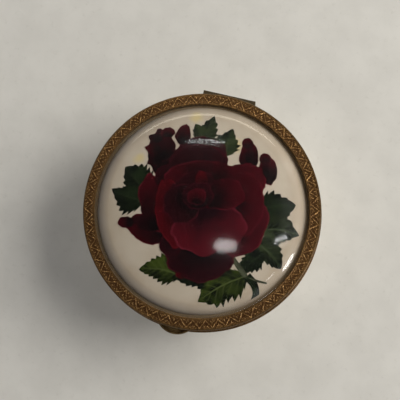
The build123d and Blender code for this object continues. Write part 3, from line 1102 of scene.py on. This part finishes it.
# buds and outer petals, then the cup, then the heart:
# name, centre, heading, length, width, layer, look, taper, bend, point
for entry in (
    ("bud_top_left", (-10.6, 16.0), 96, 14.4, 8.0, 2, rose_black, -0.05, 0.1, 0.1),
    ("bud_sepal_upper", (-12.8, 20.4), 160, 4.4, 3.0, 3, rose_black, 0.0, 0.1, 0.7),
    ("bud_sepal_middle", (-13.4, 17.4), 172, 5.0, 3.2, 4, rose_red, 0.0, 0.1, 0.7),
    ("bud_sepal_low", (-12.8, 13.6), 196, 4.6, 3.4, 3, rose_black, 0.0, -0.1, 0.6),
    ("bud_top_left_fold", (-9.7, 17.0), 80, 7.4, 4.8, 3, rose_black, 0.1, -0.1, 0.1),
    ("bud_top_left_lip", (-9.2, 21.9), 90, 3.2, 4.0, 4, rose_red, 0.0, 0.0, 0.2),
    ("bud_top", (-4.6, 21.2), 80, 6.4, 4.4, 3, rose_red, -0.2, 0.1, 0.3),
    ("bud_right", (13.6, 14.6), 86, 8.4, 5.4, 2, rose_red, -0.05),
    ("bud_right_knob", (13.3, 18.4), 92, 3.4, 3.2, 3, rose_red, 0.0, 0.0, 0.1),
    ("bud_right_fold", (13.8, 15.0), 78, 5.0, 2.4, 4, rose_black, 0.0, 0.1, 0.2),
    ("bud_far_right", (18.9, 10.6), 92, 8.2, 5.4, 2, rose_red),
    ("bud_far_right_knob", (18.2, 14.0), 100, 3.4, 3.4, 3, rose_red, 0.0, 0.0, 0.1),
    ("bud_far_right_fold", (18.6, 10.8), 92, 5.0, 2.4, 4, rose_black, 0.0, 0.1, 0.2),
    ("petal_pointed", (-14.8, -5.0), 170, 13.6, 9.0, 2, rose_red, -0.2, 0.05, 0.45),
    ("petal_pointed_tip", (-20.9, -3.6), 176, 5.0, 3.2, 3, rose_red, 0.0, 0.0, 0.1),
    ("petal_pointed_fold", (-14.8, -3.8), 168, 9.4, 4.8, 3, rose_black, -0.1, 0.1, 0.4),
    ("petal_left", (-12.0, 1.4), 108, 17.4, 8.6, 3, rose_red, 0.0, 0.15, 0.1),
    ("petal_top_back", (-0.2, 16.4), 92, 8.6, 15.6, 2, rose_black, -0.35),
    ("petal_top", (-0.6, 13.0), 94, 10.6, 17.0, 3, rose_black, -0.15),
    ("petal_upper_left", (-9.6, 8.8), 140, 6.6, 8.4, 3, rose_black),
    ("petal_top_right", (11.4, 6.0), 40, 15.0, 12.0, 4, rose_red),
    ("petal_right", (11.8, -5.2), -32, 13.0, 17.0, 5, rose_red, 0.1),
    ("petal_bottom", (0.3, -14.6), -88, 11.4, 18.8, 4, rose_black, -0.2, 0.0, 0.1),
    ("petal_low_left", (-8.2, -9.4), -118, 7.6, 6.2, 5, rose_black, 0.1, 0.1),
    ("cup_top", (0.9, 9.4), 90, 8.0, 21.8, 5, rose_red, -0.1),
    ("cup_right", (11.8, 1.2), -4, 11.6, 18.4, 6, rose_red),
    ("cup_left", (-7.8, -1.0), 190, 9.6, 18.6, 6, rose_scarlet),
    ("cup_front", (2.4, -5.6), -84, 14.4, 20.8, 7, rose_wine),
    ("fold_upper_left", (-2.4, 5.6), 122, 8.8, 13.2, 7, rose_black),
    ("fold_right", (6.6, 3.4), 12, 11.6, 9.0, 8, rose_red, 0.1, 0.1),
    ("fold_left", (-5.2, 1.6), 194, 10.4, 11.2, 8, rose_black, 0.0, 0.1),
    ("heart_outer", (-0.6, 3.4), 100, 7.4, 8.6, 9, rose_black),
    ("heart_glow", (0.6, 8.0), 100, 4.8, 3.4, 8, rose_scarlet, 0.0, 0.1, 0.1),
    ("heart_inner", (-0.7, 3.2), 84, 4.6, 5.2, 10, rose_red, 0.0, 0.1, 0.1),
    ("fallen_petal", (-5.6, -18.4), 170, 2.8, 1.6, 5, rose_scarlet, 0.0, 0.2, 0.3),
):
    petal(*entry)


# ---------------- floor, light and camera
def floor():
    """A pale table, with its half width in metres."""
    half = 4.0
    mesh = bpy.data.meshes.new("floor")
    corners = [(-half, -half, 0), (half, -half, 0), (half, half, 0), (-half, half, 0)]
    mesh.from_pydata(corners, [], [(0, 1, 2, 3)])
    made, tree, shader = material("pale_table", Roughness=0.5)
    grain = speckle(tree, 90.0, 5.0)
    tone = mix(tree, ease(tree, grain, 0.3, 0.7), srgb(214, 211, 203), srgb(207, 204, 196))
    freckles = ease(tree, speckle(tree, 480.0, 3.0, 0.7), 0.56, 0.75, 0.0, 0.3)
    tone = mix(tree, freckles, tone, srgb(186, 182, 172))
    feed(tree, shader, Base_Color=tone, Normal=bumped(tree, speckle(tree, 700.0), 0.00005, 0.2))
    mesh.materials.append(made)
    shown("floor", mesh)


floor()


def in_scene(u, v, z):
    """A place given in picture coordinates and height, in metres."""
    x, y = on_lid(u, v)
    return Vector((x * mm, y * mm, z * mm))


def lamp(name, towards, width, length, power, colour, distance=600, shape="ELLIPSE", turn=0, only=None):
    """A soft lamp in a direction given in picture coordinates, aimed at the lid and turned by turn degrees.
    only keeps it to "diffuse" or to "glossy" light."""
    light = bpy.data.lights.new(name, "AREA")
    light.shape, light.size, light.size_y = shape, width * mm, length * mm
    light.energy, light.color = power, colour
    made = shown(name, light)
    way = in_scene(*towards)
    way.normalize()
    top = (in_scene(0, 1, 0) - way * way.dot(in_scene(0, 1, 0))).normalized()
    made.location = in_scene(0, 0, band_high) + way * distance * mm
    made.rotation_mode = "QUATERNION"
    facing = Matrix((top.cross(way), top, way)).transposed()
    made.rotation_quaternion = (facing @ Matrix.Rotation(math.radians(turn), 3, "Z")).to_quaternion()
    made.visible_diffuse = only != "glossy"
    made.visible_glossy = only != "diffuse"


key_way = (0.73, 0.2, 0.64)
lamp("key", key_way, 620, 620, 8.1, (1.0, 0.98, 0.94), distance=900, shape="RECTANGLE", only="diffuse")
lamp("overhead", (0.113, -0.142, 0.984), 92, 50, 0.105, (1.0, 0.98, 0.96))
lamp("window", (-0.022, 0.545, 0.838), 150, 5, 0.045, (0.94, 1.0, 0.97), shape="RECTANGLE")
lamp("edge", (0.872, -0.455, 0.19), 240, 130, 1.1, (0.98, 0.99, 1.0), only="glossy")
lamp("warm", (0.0, 0.82, 0.57), 900, 130, 1.0, (1.0, 0.93, 0.74), only="glossy")
lamp("streak", (0.47, -0.09, 0.88), 70, 4, 0.03, (0.97, 1.0, 1.0), turn=28, only="glossy")
lamp("glint", (0.527, -0.463, 0.712), 60, 70, 0.06, (1.0, 1.0, 1.0), turn=40, only="glossy")


def studio_world():
    """A dark ceiling over pale walls, which are brighter to the right and behind."""
    made = bpy.data.worlds.new("studio")
    bpy.context.scene.world = made
    made.use_nodes = True
    tree = made.node_tree
    way = add(tree, "TexCoord").outputs["Generated"]
    height = add(tree, "SeparateXYZ", {0: way}).outputs[2]
    bright = in_scene(0.8, 0.5, 0.2).normalized()
    side = add(tree, "VectorMath", {0: way, 1: bright}, operation="DOT_PRODUCT").outputs["Value"]
    walls = ease(tree, side, -0.8, 0.9, 0.54, 0.72)
    strength = sums(tree, "MULTIPLY", walls, ease(tree, height, 0.5, 0.84, 1.0, 0.03))
    backdrop = tree.nodes["Background"]
    backdrop.inputs["Color"].default_value = (0.97, 0.97, 1.0, 1.0)
    tree.links.new(strength, backdrop.inputs["Strength"])


studio_world()

view_distance = 240.0
view_azimuth = math.radians(25.0)  # from the picture's foot towards its right
view_elevation = math.radians(82.0)
field_width = 113.7  # width of what the camera sees at that distance


def add_camera():
    """A camera nearly above the lid, with the picture's top upwards."""
    data = bpy.data.cameras.new("camera")
    data.sensor_width = 36.0
    data.lens = data.sensor_width * view_distance / field_width
    data.clip_start, data.clip_end = 0.01, 10.0
    camera = shown("camera", data)
    level_reach = math.cos(view_elevation)
    back = in_scene(
        math.sin(view_azimuth) * level_reach, -math.cos(view_azimuth) * level_reach, math.sin(view_elevation)
    ).normalized()
    to_right = in_scene(0, 1, 0).normalized().cross(back).normalized()
    camera.location = in_scene(-0.26, 2.79, band_high) + back * view_distance * mm
    camera.rotation_mode = "QUATERNION"
    camera.rotation_quaternion = Matrix((to_right, back.cross(to_right), back)).transposed().to_quaternion()
    bpy.context.scene.camera = camera


add_camera()
bpy.context.scene.view_settings.view_transform = "Standard"
